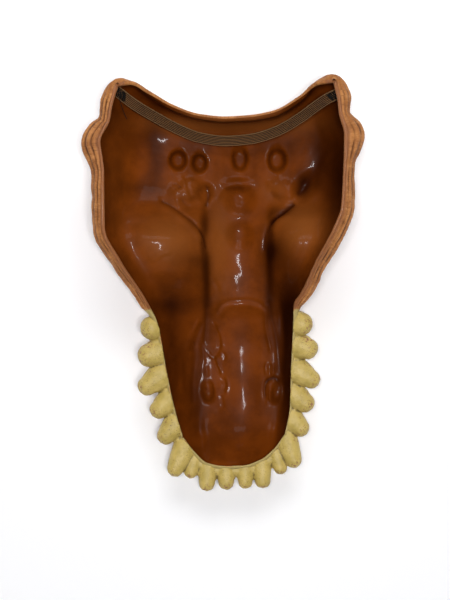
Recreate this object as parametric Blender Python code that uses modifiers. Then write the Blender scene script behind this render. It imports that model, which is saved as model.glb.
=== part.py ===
"""A dinosaur half mask of moulded rubber: an open shell lying face down with its hollow up, eighteen
teeth round the rim of the snout and an elastic head strap across the back of the opening.

X runs across the mask, +Y from the nose to the back of the head, +Z up out of the hollow. The origin
is the middle of the box that the mask fills, on the surface that it lies on. Lengths are in metres.
"""

import math

import bmesh
import bpy
import numpy as np
from mathutils import Matrix, Vector

# Driving sizes of the moulding
MASK_WIDTH = 0.259  # across the skin at the cheek lobes
MASK_LENGTH = 0.383  # from the back corners to the tips of the front teeth
MASK_DEPTH = 0.116  # from the surface up to the highest point of the rim
WALL = 0.0025  # thickness of the rubber
RIM_ROLL = 0.009  # how far the skin swells past the edge of the opening
WALL_RUN = 0.042  # how far in from the rim the side wall reaches the floor
LIP_RUN = 0.008  # width of the steep edge between the cheeks and the nasal channel
CHANNEL_CURVE = 0.13  # share of its side's rise by which the channel's floor curls up at its edge
LEAN = 0.735  # growth of the plan for each metre below the rim plane, from the draft of the mould
RIM_PLANE = 0.090  # height at which the shares of the tables hold as they are

# Teeth
TOOTH_LENGTH = 0.025  # from the edge of the opening to the tip
TOOTH_WIDTH = 0.022
TOOTH_RISE = math.radians(8)  # how far a tooth points up from level
TOOTH_ROOT_DROP = 0.0085  # depth of a tooth's middle below the edge of the opening
TOOTH_DEPTH = 0.72  # of its width
TOOTH_START = 0.004  # from the edge of the opening to the middle of the root
TOOTH_TAPER = 2.3  # higher keeps the tooth fat for longer
TOOTH_ROUND = 0.62  # lower makes the tip rounder
TOOTH_ROOT_CUT = 0.008  # how far into the hollow the roots are cut away

# Head strap
STRAP_WIDTH = 0.010
STRAP_THICKNESS = 0.0012
STRAP_TILT = math.radians(14)  # how far the strap's lower edge hangs below level

# Clearance between pieces that touch
GAP = 0.0003

# Mesh fineness
ACROSS_CELLS = 46
ALONG_CELLS = 49
RIM_SAMPLES = 900
SPREAD_SAMPLES = 2001
RIM_SOFTENING = 0.001  # keeps the pull of the nearest stretch of the rim finite
RIM_BLEND = 0.006  # from the rim to where its bends are fully rounded off
SKIN_PROBE = 0.004  # share of the patch between points that give the skin's slope
RIM_CROWDING = 0.88  # how much smaller the cells are at the rim
RIM_REACH = 0.07  # share of the patch in which they grow to their full size
BROW_CROWDING = 0.45  # how much shorter the cells are under the brow knobs
BROW_BAND = (0.05, 0.27)  # where that is, down from the back

HALF_WIDTH = MASK_WIDTH / 2
HALF_LENGTH = MASK_LENGTH / 2
LEAN_AXIS = np.array([0.018 * HALF_WIDTH, -0.083 * HALF_LENGTH])
TABLE_MIDDLE = np.array([0.0, 0.022 * HALF_LENGTH])  # from the middle of the box

# The edge of the opening, as shares. Columns: across (of half the width), along (of half the
# length), height (of the depth), roll (of the rim roll; negative where the edge flares), run (of
# the wall run)
BACK_LEFT = (-0.745, 0.945, 0.87, 0.35, 0.80)
BACK_RIGHT = (0.795, 0.965, 0.87, 0.35, 0.70)
FRONT_LEFT = (-0.280, -0.741, 0.39, 0.45, 0.95)
FRONT_RIGHT = (0.443, -0.726, 0.39, 0.45, 0.50)
BACK_EDGE = (
    (-0.656, 0.955, 0.83, -0.05, 0.80),
    (-0.514, 0.906, 0.73, -0.30, 0.80),
    (-0.337, 0.842, 0.61, -0.45, 0.80),
    (-0.160, 0.803, 0.53, -0.45, 0.80),
    (0.018, 0.791, 0.50, -0.45, 0.80),
    (0.195, 0.798, 0.50, -0.50, 0.80),
    (0.372, 0.822, 0.54, -0.55, 0.80),
    (0.550, 0.890, 0.66, -0.45, 0.78),
    (0.677, 0.952, 0.79, -0.15, 0.74),
)
LEFT_EDGE = (
    (-0.784, 0.854, 0.89, 0.95, 0.95),
    (-0.805, 0.777, 0.91, 0.75, 1.05),
    (-0.872, 0.676, 0.93, 1.75, 1.10),
    (-0.844, 0.532, 0.97, 0.90, 1.00),
    (-0.842, 0.390, 1.00, 0.95, 0.75),
    (-0.838, 0.263, 0.98, 0.90, 0.55),
    (-0.727, 0.109, 0.84, 0.60, 0.45),
    (-0.543, -0.083, 0.62, 0.45, 0.50),
    (-0.457, -0.203, 0.52, 0.45, 0.65),
    (-0.408, -0.381, 0.46, 0.45, 0.83),
    (-0.337, -0.611, 0.41, 0.45, 0.90),
)
FRONT_EDGE = (
    (-0.202, -0.808, 0.38, 0.45, 1.05),
    (-0.103, -0.866, 0.38, 0.45, 1.15),
    (0.018, -0.880, 0.38, 0.45, 1.20),
    (0.145, -0.878, 0.38, 0.45, 1.15),
    (0.266, -0.851, 0.38, 0.45, 1.00),
    (0.365, -0.798, 0.38, 0.45, 0.70),
)
RIGHT_EDGE = (
    (0.819, 0.878, 0.89, 1.05, 0.70),
    (0.833, 0.801, 0.91, 0.75, 0.70),
    (0.869, 0.709, 0.93, 1.80, 0.70),
    (0.862, 0.565, 0.97, 0.75, 0.65),
    (0.848, 0.373, 1.00, 1.00, 0.55),
    (0.784, 0.253, 0.97, 1.00, 0.45),
    (0.670, 0.109, 0.84, 0.85, 0.38),
    (0.571, -0.035, 0.67, 0.70, 0.34),
    (0.507, -0.112, 0.59, 0.60, 0.32),
    (0.500, -0.227, 0.52, 0.45, 0.32),
    (0.486, -0.419, 0.45, 0.45, 0.32),
    (0.479, -0.587, 0.41, 0.45, 0.38),
)

# The wall from the edge of the opening down to its foot, as shares. Columns: step (of the way to
# the foot), out (of the roll), in (of the run), drop (of the height above the floor)
WALL_PROFILE = (
    (0.00, 0.00, 0.00, 0.00),
    (0.08, 0.62, 0.00, 0.05),
    (0.18, 1.00, 0.00, 0.16),
    (0.32, 0.80, 0.03, 0.36),
    (0.50, 0.35, 0.14, 0.62),
    (0.72, 0.05, 0.45, 0.86),
    (1.00, 0.00, 1.00, 1.00),
)

# Sections of the floor from the back to the nose, as shares. Columns: along (of half the length),
# centre and half (of half the width: the nasal channel), then heights (of the depth): floor of the
# channel, then lip, cheek and foot of the wall on the left, and the same on the right
FLOOR_SECTIONS = (
    (0.78, 0.124, 0.21, 0.100, 0.105, 0.120, 0.190, 0.105, 0.120, 0.190),
    (0.64, 0.124, 0.21, 0.082, 0.092, 0.110, 0.190, 0.092, 0.110, 0.190),
    (0.50, 0.117, 0.21, 0.092, 0.105, 0.140, 0.220, 0.105, 0.135, 0.200),
    (0.40, 0.110, 0.21, 0.098, 0.135, 0.190, 0.310, 0.130, 0.180, 0.300),
    (0.30, 0.103, 0.21, 0.100, 0.250, 0.350, 0.390, 0.250, 0.370, 0.430),
    (0.20, 0.103, 0.206, 0.105, 0.335, 0.440, 0.430, 0.320, 0.460, 0.480),
    (0.06, 0.110, 0.199, 0.110, 0.280, 0.400, 0.410, 0.260, 0.390, 0.440),
    (-0.08, 0.124, 0.206, 0.100, 0.200, 0.290, 0.340, 0.180, 0.270, 0.340),
    (-0.18, 0.131, 0.227, 0.050, 0.115, 0.190, 0.250, 0.080, 0.150, 0.220),
    (-0.32, 0.145, 0.241, 0.010, 0.065, 0.120, 0.170, 0.040, 0.085, 0.140),
    (-0.56, 0.152, 0.250, 0.010, 0.040, 0.068, 0.100, 0.032, 0.050, 0.085),
    (-0.70, 0.130, 0.240, 0.055, 0.062, 0.080, 0.100, 0.062, 0.080, 0.100),
    (-0.86, 0.130, 0.220, 0.180, 0.185, 0.190, 0.200, 0.185, 0.190, 0.200),
)

# Local forms of the floor. Columns: across (of half the width), along (of half the length), wide
# and long (half sizes, in metres), rise (in metres; negative is pushed out into the face), turn
# (degrees anticlockwise), flat (share of the form that is level)
BROW_KNOBS = (
    (-0.316, 0.589, 0.0074, 0.0086, -0.0120, 0, 0.55),
    (-0.163, 0.575, 0.0066, 0.0088, -0.0105, 0, 0.50),
    (0.124, 0.594, 0.0066, 0.0105, -0.0090, 0, 0.50),
    (0.387, 0.589, 0.0080, 0.0104, -0.0120, 0, 0.55),
)
FACE_FORMS = (
    (0.103, 0.475, 0.0160, 0.0060, 0.0035, 0, 0.20),
    (0.124, 0.400, 0.0140, 0.0130, -0.0050, 0, 0.20),
    (0.124, 0.230, 0.0120, 0.0130, -0.0035, 0, 0.20),
    (-0.270, 0.440, 0.0170, 0.0120, 0.0050, 20, 0.20),
    (-0.120, 0.435, 0.0080, 0.0090, -0.0040, 0, 0.20),
    (0.440, 0.445, 0.0150, 0.0110, 0.0040, -20, 0.20),
    (0.585, 0.460, 0.0100, 0.0140, -0.0090, -30, 0.20),
    (-0.480, 0.600, 0.0070, 0.0420, -0.0060, 0, 0.10),
    (0.690, 0.600, 0.0070, 0.0320, -0.0050, -20, 0.10),
    (-0.105, -0.525, 0.0060, 0.0100, 0.0050, 10, 0.20),
    (0.387, -0.530, 0.0060, 0.0100, 0.0055, -10, 0.20),
)

FORM_EDGE = 1.25  # of its half sizes, where a form has fallen to nothing

# Teeth, from the left jaw corner round the front to the right one. Columns: at (share of the tooth
# row), aim (degrees from straight ahead, positive to the right), long (of the tooth length), wide
# (of the tooth width)
TEETH = (
    (0.027, -88, 0.66, 0.92),
    (0.098, -82, 1.02, 1.05),
    (0.174, -79, 1.20, 1.12),
    (0.243, -73, 0.98, 0.98),
    (0.304, -62, 0.92, 0.90),
    (0.345, -22, 1.34, 0.78),
    (0.387, -15, 0.96, 0.60),
    (0.426, -6, 1.05, 0.72),
    (0.471, 1, 0.92, 0.74),
    (0.521, 4, 0.92, 0.76),
    (0.569, 7, 1.05, 0.76),
    (0.609, 17, 0.92, 0.58),
    (0.652, 23, 1.22, 0.80),
    (0.694, 52, 0.80, 0.86),
    (0.757, 66, 0.96, 1.00),
    (0.822, 78, 1.16, 1.12),
    (0.896, 82, 1.02, 1.02),
    (0.963, 77, 0.76, 0.98),
)
TEETH_ON_LEFT = 9
TOOTH_ROW = (-0.170, -0.120)  # where the row starts on the left and ends on the right, along

# The strap's way from corner to corner, as shares. Columns: across (of half the width), along (of
# half the length), height (of the depth)
STRAP_LINE = (
    (-0.621, 0.854, 0.630),
    (-0.514, 0.810, 0.510),
    (-0.301, 0.733, 0.360),
    (-0.160, 0.697, 0.285),
    (0.018, 0.681, 0.245),
    (0.195, 0.690, 0.255),
    (0.372, 0.724, 0.310),
    (0.550, 0.791, 0.440),
    (0.677, 0.854, 0.585),
    (0.748, 0.885, 0.680),
)
# Where the strap is tied to the skin in each corner. Columns: across, down (shares of the patch),
# standoff (of the strap's width, from the skin to the middle of its end)
STRAP_ENDS = (
    (0.046, 0.034, 0.245),
    (0.966, 0.035, 0.295),
)
STRAP_STEPS = 28


def column(table, index):
    return np.array([row[index] for row in table], float)


def smooth(knots, values, at):
    """A smooth curve through the knots with no overshoot. Values may have one row for each point."""
    step = np.diff(knots, axis=-1)
    rise = np.diff(values, axis=-1) / step
    ahead, behind = rise[..., 1:], rise[..., :-1]
    same = ahead * behind > 0
    mean = 2 * ahead * behind / np.where(same, ahead + behind, 1)
    inner = np.where(same, mean, 0)
    slope = np.concatenate([rise[..., :1], inner, rise[..., -1:]], axis=-1)
    if knots.ndim == 1:
        cell = np.clip(np.searchsorted(knots, at) - 1, 0, len(knots) - 2)

        def pick(array):
            return array[..., cell]
    else:
        cell = np.clip((at[:, None] > knots).sum(axis=1) - 1, 0, knots.shape[1] - 2)
        row = np.arange(len(at))

        def pick(array):
            return array[row, cell]

    width = pick(step)
    t = np.clip((at - pick(knots[..., :-1])) / width, 0, 1)
    low, high = pick(values[..., :-1]), pick(values[..., 1:])
    start, end = pick(slope[..., :-1]) * width, pick(slope[..., 1:]) * width
    return (
        low * (1 + 2 * t) * (1 - t) ** 2
        + start * t * (1 - t) ** 2
        + high * t**2 * (3 - 2 * t)
        - end * t**2 * (1 - t)
    )


def edge_curve(table):
    """One side of the opening as a function of its share: rows of x, y, height, roll and run."""
    scale = (HALF_WIDTH, HALF_LENGTH, MASK_DEPTH, RIM_ROLL, WALL_RUN)
    rows = np.array(table, float).T * np.array(scale)[:, None]
    chord = np.hypot(np.diff(rows[0]), np.diff(rows[1]))
    share = np.concatenate([[0], np.cumsum(chord)]) / chord.sum()
    return lambda at: smooth(share, rows, at)


BACK = edge_curve((BACK_LEFT, *BACK_EDGE, BACK_RIGHT))
FRONT = edge_curve((FRONT_LEFT, *FRONT_EDGE, FRONT_RIGHT))
LEFT = edge_curve((BACK_LEFT, *LEFT_EDGE, FRONT_LEFT))
RIGHT = edge_curve((BACK_RIGHT, *RIGHT_EDGE, FRONT_RIGHT))


def rim_loop():
    """The whole edge of the opening, clockwise from the back left corner, closed."""
    share = np.linspace(0, 1, RIM_SAMPLES // 4, endpoint=False)
    return np.concatenate(
        [BACK(share), RIGHT(share), FRONT(1 - share), LEFT(1 - share)], axis=1
    )


def patch_plan(across, down):
    """Plan points of the patch that the four sides bound."""
    left, right = LEFT(down)[:2], RIGHT(down)[:2]
    back, front = BACK(across)[:2], FRONT(across)[:2]
    corner = [BACK(np.array([end]))[:2] for end in (0, 1)] + [
        FRONT(np.array([end]))[:2] for end in (0, 1)
    ]
    return (
        (1 - across) * left
        + across * right
        + (1 - down) * back
        + down * front
        - (1 - across) * (1 - down) * corner[0]
        - across * (1 - down) * corner[1]
        - (1 - across) * down * corner[2]
        - across * down * corner[3]
    )


def near_rim(plan):
    """Distance to the rim, the direction out of it, and its height, roll and run near each point."""
    rim = rim_loop()
    ahead = np.roll(rim, -1, axis=1)
    run = ahead[:2] - rim[:2]
    length = np.hypot(*run)
    outward = np.stack([-run[1], run[0]]) / length
    offset = plan[:, :, None] - rim[:2, None, :]
    share = np.clip((offset * run[:, None, :]).sum(axis=0) / length**2, 0, 1)
    apart = offset - share * run[:, None, :]
    squared = (apart**2).sum(axis=0)
    nearest = np.sqrt(squared.min(axis=1))
    weight = length / (squared + RIM_SOFTENING**2) ** 3
    # Beside a straight edge the sum is 3/8 pi / distance ** 5
    rounded = (3 / 8 * math.pi / weight.sum(axis=1)) ** 0.2
    soft = np.clip(nearest / RIM_BLEND, 0, 1)
    distance = nearest + (np.minimum(rounded, nearest) - nearest) * soft
    weight /= weight.sum(axis=1, keepdims=True)
    middle = (rim + ahead) / 2
    direction = weight @ outward.T
    direction /= np.hypot(*direction.T)[:, None] + 1e-9
    return distance, direction.T, weight @ middle[2], weight @ middle[3], weight @ middle[4]


def local_form(x, y, form):
    """The rise of one local form: level in its middle, falling smoothly to nothing at its edge."""
    across, along, wide, long, rise, turn, flat = form
    cos, sin = math.cos(math.radians(turn)), math.sin(math.radians(turn))
    dx, dy = x - across * HALF_WIDTH, y - along * HALF_LENGTH
    reach = np.hypot((dx * cos + dy * sin) / wide, (dy * cos - dx * sin) / long)
    share = np.clip((FORM_EDGE - reach) / (FORM_EDGE - flat), 0, 1)
    return rise * share**2 * (3 - 2 * share)


def floor_height(x, y):
    """Height of the inner skin's floor. Where it is lowest, the outside of the wall lies on the surface."""
    along = column(FLOOR_SECTIONS, 0)[::-1] * HALF_LENGTH
    values = np.array([column(FLOOR_SECTIONS, i)[::-1] for i in range(1, 10)])
    here = smooth(along, values, np.clip(y, along[0], along[-1]))
    centre, half = here[0] * HALF_WIDTH, here[1] * HALF_WIDTH
    floor, lip_l, cheek_l, foot_l, lip_r, cheek_r, foot_r = here[2:] * MASK_DEPTH
    sides = []
    for side, start, end in ((LEFT_EDGE, BACK_LEFT, FRONT_LEFT), (RIGHT_EDGE, BACK_RIGHT, FRONT_RIGHT)):
        rows = (start, *side, end)
        edge_y = column(rows, 1)[::-1] * HALF_LENGTH
        edge_x = column(rows, 0)[::-1] * HALF_WIDTH
        sides.append(smooth(edge_y, edge_x, np.clip(y, edge_y[0], edge_y[-1])))
    left, right = sides
    lip_left = np.maximum(centre - half - LIP_RUN, left + 2 * LIP_RUN)
    lip_right = np.minimum(centre + half + LIP_RUN, right - LIP_RUN)
    knots = np.stack(
        [
            left,
            (left + lip_left) / 2,
            lip_left,
            lip_left + LIP_RUN,
            centre,
            lip_right - LIP_RUN,
            lip_right,
            (right + lip_right) / 2,
            right,
        ],
        axis=1,
    )
    edge_l, edge_r = floor + CHANNEL_CURVE * (lip_l - floor), floor + CHANNEL_CURVE * (lip_r - floor)
    heights = np.stack(
        [foot_l, cheek_l, lip_l, edge_l, floor, edge_r, lip_r, cheek_r, foot_r], axis=1
    )
    height = smooth(knots, heights, x)
    for form in (*BROW_KNOBS, *FACE_FORMS):
        height = height + local_form(x, y, form)
    return np.maximum(height, WALL)


def leaned(x, y, z):
    """Points moved out from the middle by the draft of the mould, as rows of x, y and z."""
    grow = 1 + LEAN * (RIM_PLANE - z)
    lean_from = LEAN_AXIS[:, None]
    x, y = TABLE_MIDDLE[:, None] + lean_from + (np.stack([x, y]) - lean_from) * grow
    return np.stack([x, y, z], axis=1)


def inner_skin(across, down):
    """Points of the inner skin for shares of the patch, as an array of x, y and z."""
    plan = patch_plan(across, down)
    distance, out, rim_height, roll, run = near_rim(plan)
    step = np.clip(distance / run, 0, 1)
    profile = [column(WALL_PROFILE, i) for i in range(4)]
    swell = smooth(profile[0], profile[1], step) * roll
    inward = smooth(profile[0], profile[2], step) * run
    drop = smooth(profile[0], profile[3], step)
    moved = np.where(step < 1, distance - inward + swell, 0)
    x, y = plan + out * moved
    floor = floor_height(x, y)
    z = rim_height + (floor - rim_height) * drop
    return leaned(x, y, z)


def spread(cells, band=None):
    """Shares from 0 to 1 in this many cells, small near both ends and shorter within the band."""
    share = np.linspace(0, 1, SPREAD_SAMPLES)
    size = 1 - RIM_CROWDING * (np.exp(-share / RIM_REACH) + np.exp(-(1 - share) / RIM_REACH))
    if band:
        size *= 1 - BROW_CROWDING * ((share > band[0]) & (share < band[1]))
    count = np.cumsum(1 / size)
    count = (count - count[0]) / (count[-1] - count[0])
    return np.interp(np.linspace(0, 1, cells + 1), count, share)


def skin_surface(name):
    """The inner skin as an open mesh, a grid of cells that bends to the four sides of the opening."""
    down, across = np.meshgrid(spread(ALONG_CELLS, BROW_BAND), spread(ACROSS_CELLS), indexing="ij")
    points = inner_skin(across.ravel(), down.ravel())
    wide = ACROSS_CELLS + 1
    faces = [
        (row * wide + col, (row + 1) * wide + col, (row + 1) * wide + col + 1, row * wide + col + 1)
        for row in range(ALONG_CELLS)
        for col in range(ACROSS_CELLS)
    ]
    mesh = bpy.data.meshes.new(name)
    mesh.from_pydata(points.tolist(), [], faces)
    mesh.shade_smooth()
    return mesh


def material(name, colour, roughness):
    made = bpy.data.materials.new(name)
    made.use_nodes = True
    shader = made.node_tree.nodes["Principled BSDF"]
    shader.inputs["Base Color"].default_value = (*colour, 1)
    shader.inputs["Roughness"].default_value = roughness
    shader.inputs["Metallic"].default_value = 0
    return made


def add_object(name, mesh, collection, finish=None):
    made = bpy.data.objects.new(name, mesh)
    collection.objects.link(made)
    if finish:
        mesh.materials.append(finish)
    return made


def thicken(obj, inward, outward):
    """Gives an open skin its thickness: this far into the hollow and this far out of it."""
    solid = obj.modifiers.new("wall", "SOLIDIFY")
    solid.thickness = inward + outward
    solid.offset = (inward - outward) / (inward + outward)
    solid.use_quality_normals = True


def make_shell(collection):
    rubber = material("brown_rubber", (0.19, 0.06, 0.015), 0.32)
    shell = add_object("mask_shell", skin_surface("mask_shell"), collection, rubber)
    thicken(shell, 0, WALL)
    return shell


def make_tooth_cutter(collection):
    """The shell with clearance on its outside, to shape the roots of the teeth to the skin."""
    cutter = add_object("tooth_cutter", skin_surface("tooth_cutter"), collection)
    thicken(cutter, TOOTH_ROOT_CUT, WALL + GAP)
    cutter.hide_render = True
    cutter.display_type = "WIRE"
    return cutter


def snout_rim():
    """The rim between the ends of the tooth row, left to right, and its arc length."""
    share = np.linspace(0, 1, RIM_SAMPLES)
    left, right = LEFT(share), RIGHT(1 - share)
    left = left[:, left[1] < TOOTH_ROW[0] * HALF_LENGTH]
    right = right[:, right[1] < TOOTH_ROW[1] * HALF_LENGTH]
    path = np.concatenate([left, FRONT(share)[:, 1:-1], right], axis=1)[:3]
    length = np.concatenate([[0], np.cumsum(np.hypot(*np.diff(path[:2], axis=1)))])
    return path, length


def tooth_mesh(name, long, wide):
    """A fat cone with a round tip, its axis along +Y from the middle of its root."""
    bm = bmesh.new()
    bmesh.ops.create_uvsphere(bm, u_segments=8, v_segments=7, radius=1)
    for vert in bm.verts:
        reach = (vert.co.z + 1) / 2
        girth = wide / 2 * max(0, 1 - reach**TOOTH_TAPER) ** TOOTH_ROUND
        around = Vector((vert.co.x, vert.co.y))
        if around.length > 1e-6:
            around.normalize()
        reach = TOOTH_START + (long - TOOTH_START) * reach
        vert.co = Vector((around.x * girth, reach, around.y * girth * TOOTH_DEPTH))
    bmesh.ops.recalc_face_normals(bm, faces=bm.faces)
    mesh = bpy.data.meshes.new(name)
    bm.to_mesh(mesh)
    bm.free()
    mesh.shade_smooth()
    return mesh


def make_teeth(collection, cutter):
    cream = material("tooth_cream", (0.52, 0.41, 0.15), 0.5)
    path, length = snout_rim()
    for index, (at, aim, long, wide) in enumerate(TEETH):
        side, number = ("left", index + 1) if index < TEETH_ON_LEFT else ("right", len(TEETH) - index)
        name = f"tooth_{side}_{number}"
        edge = np.array([[np.interp(at * length[-1], length, row)] for row in path])
        edge[2] -= TOOTH_ROOT_DROP
        place = leaned(*edge)[0]
        mesh = tooth_mesh(name, long * TOOTH_LENGTH, wide * TOOTH_WIDTH)
        tooth = add_object(name, mesh, collection, cream)
        turn = Matrix.Rotation(math.radians(aim) + math.pi, 4, "Z")
        tooth.matrix_world = Matrix.Translation(place) @ turn @ Matrix.Rotation(TOOTH_RISE, 4, "X")
        cut = tooth.modifiers.new("root", "BOOLEAN")
        cut.operation = "DIFFERENCE"
        cut.object = cutter


def strap_route():
    """Points along the middle of the strap, its ends just clear of the skin."""
    table = np.array(STRAP_LINE, float).T * np.array([[HALF_WIDTH], [HALF_LENGTH], [MASK_DEPTH]])
    hung = leaned(*table)
    ends = []
    for across, down, standoff in STRAP_ENDS:
        near = np.array([[across, down], [across + SKIN_PROBE, down], [across, down + SKIN_PROBE]]).T
        skin, right, ahead = inner_skin(*near)
        inward = np.cross(ahead - skin, right - skin)
        ends.append(skin + inward / np.linalg.norm(inward) * (GAP + standoff * STRAP_WIDTH))
    points = np.vstack([ends[0], hung, ends[1]]).T
    chord = np.sqrt((np.diff(points, axis=1) ** 2).sum(axis=0))
    share = np.concatenate([[0], np.cumsum(chord)]) / chord.sum()
    return smooth(share, points, np.linspace(0, 1, STRAP_STEPS + 1)).T


def make_strap(collection):
    """The elastic: a flat ribbon that hangs from corner to corner behind the back edge."""
    elastic = material("strap_elastic", (0.075, 0.035, 0.014), 0.8)
    centre = strap_route()
    along = np.gradient(centre, axis=0)
    along /= np.linalg.norm(along, axis=1, keepdims=True)
    level = np.cross(along, (0, 0, 1))
    level /= np.linalg.norm(level, axis=1, keepdims=True)
    face = np.cross(level, along)
    side = level * math.cos(STRAP_TILT) - face * math.sin(STRAP_TILT)
    up = np.cross(side, along)
    half, thick = side * STRAP_WIDTH / 2, up * STRAP_THICKNESS / 2
    rings = np.stack(
        [centre + half + thick, centre - half + thick, centre - half - thick, centre + half - thick],
        axis=1,
    )
    faces = [
        (4 * i + j, 4 * i + (j + 1) % 4, 4 * i + 4 + (j + 1) % 4, 4 * i + 4 + j)
        for i in range(STRAP_STEPS)
        for j in range(4)
    ]
    faces += [(3, 2, 1, 0), tuple(4 * STRAP_STEPS + j for j in range(4))]
    mesh = bpy.data.meshes.new("head_strap")
    mesh.from_pydata(rings.reshape(-1, 3).tolist(), [], faces)
    bm = bmesh.new()
    bm.from_mesh(mesh)
    bmesh.ops.recalc_face_normals(bm, faces=bm.faces)
    bm.to_mesh(mesh)
    bm.free()
    add_object("head_strap", mesh, collection, elastic)


def main():
    for obj in list(bpy.data.objects):
        bpy.data.objects.remove(obj, do_unlink=True)
    scene = bpy.context.scene
    scene.unit_settings.system = "METRIC"
    scene.unit_settings.scale_length = 1
    parts = bpy.data.collections.new("dinosaur_mask")
    cutters = bpy.data.collections.new("cutters")
    scene.collection.children.link(parts)
    scene.collection.children.link(cutters)
    make_shell(parts)
    make_teeth(parts, make_tooth_cutter(cutters))
    make_strap(parts)


main()
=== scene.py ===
"""The looks of the dinosaur half mask: a glossy brown hollow with the face pressed into it, tan wrinkled
skin outside, a fused row of worn cream teeth, a ribbed woven elastic and the black thread that ties it.

The skin follows the same tables as the solid, on a finer grid and with its fine relief. Places that were
read off the photograph are in its pixels and named so. All lengths are in metres.
"""

import math

import bmesh
import bpy
import numpy as np
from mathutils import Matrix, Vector, noise
from mathutils.bvhtree import BVHTree


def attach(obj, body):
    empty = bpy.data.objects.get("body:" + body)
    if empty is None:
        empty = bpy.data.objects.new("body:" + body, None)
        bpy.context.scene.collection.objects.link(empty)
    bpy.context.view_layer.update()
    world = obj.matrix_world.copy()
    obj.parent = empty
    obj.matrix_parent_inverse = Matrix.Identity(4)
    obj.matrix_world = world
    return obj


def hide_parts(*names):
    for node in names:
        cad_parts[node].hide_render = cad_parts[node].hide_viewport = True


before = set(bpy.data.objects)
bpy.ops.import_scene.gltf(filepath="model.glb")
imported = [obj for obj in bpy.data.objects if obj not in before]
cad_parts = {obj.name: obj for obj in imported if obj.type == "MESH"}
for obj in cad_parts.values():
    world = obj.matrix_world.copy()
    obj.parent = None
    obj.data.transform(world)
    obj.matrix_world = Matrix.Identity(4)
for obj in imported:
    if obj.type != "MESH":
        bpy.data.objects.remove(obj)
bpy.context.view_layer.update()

# Sizes of the moulding
MASK_WIDTH = 0.259
MASK_LENGTH = 0.383
MASK_DEPTH = 0.116
WALL = 0.0025
RIM_ROLL = 0.009
WALL_RUN = 0.042
LIP_RUN = 0.008
CHANNEL_CURVE = 0.32
CHANNEL_BOW = 0.0050  # least rise of its edges over its middle
LEAN = 0.735
RIM_PLANE = 0.090
HALF_WIDTH = MASK_WIDTH / 2
HALF_LENGTH = MASK_LENGTH / 2
LEAN_AXIS = np.array([0.018 * HALF_WIDTH, -0.083 * HALF_LENGTH])
TABLE_MIDDLE = np.array([0.0, 0.022 * HALF_LENGTH])

# The photograph, in pixels: where the middle of the tables lies, and their half sizes
PHOTO_MIDDLE = (222.5, 282.75)
PHOTO_HALF = (141.0, 208.25)
PIXEL = MASK_WIDTH / 2 / PHOTO_HALF[0]  # length of one pixel at the rim

# Camera
CAMERA_HEIGHT = 1.45
CAMERA_LENS = 88.7  # millimetres, on a sensor 36 mm high

# Fineness of the skin
ACROSS_CELLS = 190
ALONG_CELLS = 236
RIM_SAMPLES = 900
RIM_CROWDING = 0.80
RIM_REACH = 0.07
SPREAD_SAMPLES = 2001
RIM_SOFTENING = 0.001
RIM_BLEND = 0.006
CHUNK = 3000  # points worked on at once

# The edge of the opening, as shares. Columns: across, along, height, roll, run
BACK_LEFT = (-0.745, 0.945, 0.87, 0.70, 0.80)
BACK_RIGHT = (0.795, 0.965, 0.87, 0.85, 0.70)
FRONT_LEFT = (-0.280, -0.741, 0.39, 0.20, 0.95)
FRONT_RIGHT = (0.443, -0.726, 0.39, 0.20, 0.50)
BACK_EDGE = (
    (-0.656, 0.955, 0.83, -0.05, 0.80),
    (-0.514, 0.906, 0.73, -0.30, 0.80),
    (-0.337, 0.842, 0.61, -0.45, 0.80),
    (-0.160, 0.803, 0.53, -0.45, 0.80),
    (0.018, 0.791, 0.50, -0.45, 0.80),
    (0.195, 0.798, 0.50, -0.50, 0.80),
    (0.372, 0.822, 0.54, -0.55, 0.80),
    (0.550, 0.890, 0.66, -0.45, 0.78),
    (0.677, 0.952, 0.79, 0.05, 0.74),
)
LEFT_EDGE = (
    (-0.784, 0.854, 0.89, 0.95, 0.95),
    (-0.805, 0.777, 0.91, 0.75, 1.05),
    (-0.872, 0.676, 0.93, 1.75, 1.10),
    (-0.844, 0.532, 0.97, 0.90, 1.00),
    (-0.842, 0.390, 1.00, 0.95, 0.75),
    (-0.838, 0.263, 0.98, 0.90, 0.55),
    (-0.727, 0.109, 0.84, 0.60, 0.45),
    (-0.543, -0.083, 0.62, 0.45, 0.50),
    (-0.457, -0.203, 0.52, 0.28, 0.65),
    (-0.408, -0.381, 0.46, 0.20, 0.83),
    (-0.337, -0.611, 0.41, 0.20, 0.90),
)
FRONT_EDGE = (
    (-0.202, -0.808, 0.38, 0.20, 1.05),
    (-0.103, -0.866, 0.38, 0.20, 1.15),
    (0.018, -0.880, 0.38, 0.20, 1.20),
    (0.145, -0.878, 0.38, 0.20, 1.15),
    (0.266, -0.851, 0.38, 0.20, 1.00),
    (0.365, -0.798, 0.38, 0.20, 0.70),
)
RIGHT_EDGE = (
    (0.819, 0.878, 0.89, 1.05, 0.70),
    (0.833, 0.801, 0.91, 0.75, 0.70),
    (0.869, 0.709, 0.93, 1.80, 0.70),
    (0.862, 0.565, 0.97, 0.75, 0.65),
    (0.848, 0.373, 1.00, 1.00, 0.55),
    (0.784, 0.253, 0.97, 1.00, 0.45),
    (0.670, 0.109, 0.84, 0.85, 0.38),
    (0.571, -0.035, 0.67, 0.70, 0.34),
    (0.507, -0.112, 0.59, 0.45, 0.32),
    (0.500, -0.227, 0.52, 0.28, 0.32),
    (0.486, -0.419, 0.45, 0.20, 0.32),
    (0.479, -0.587, 0.41, 0.20, 0.38),
)

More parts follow.
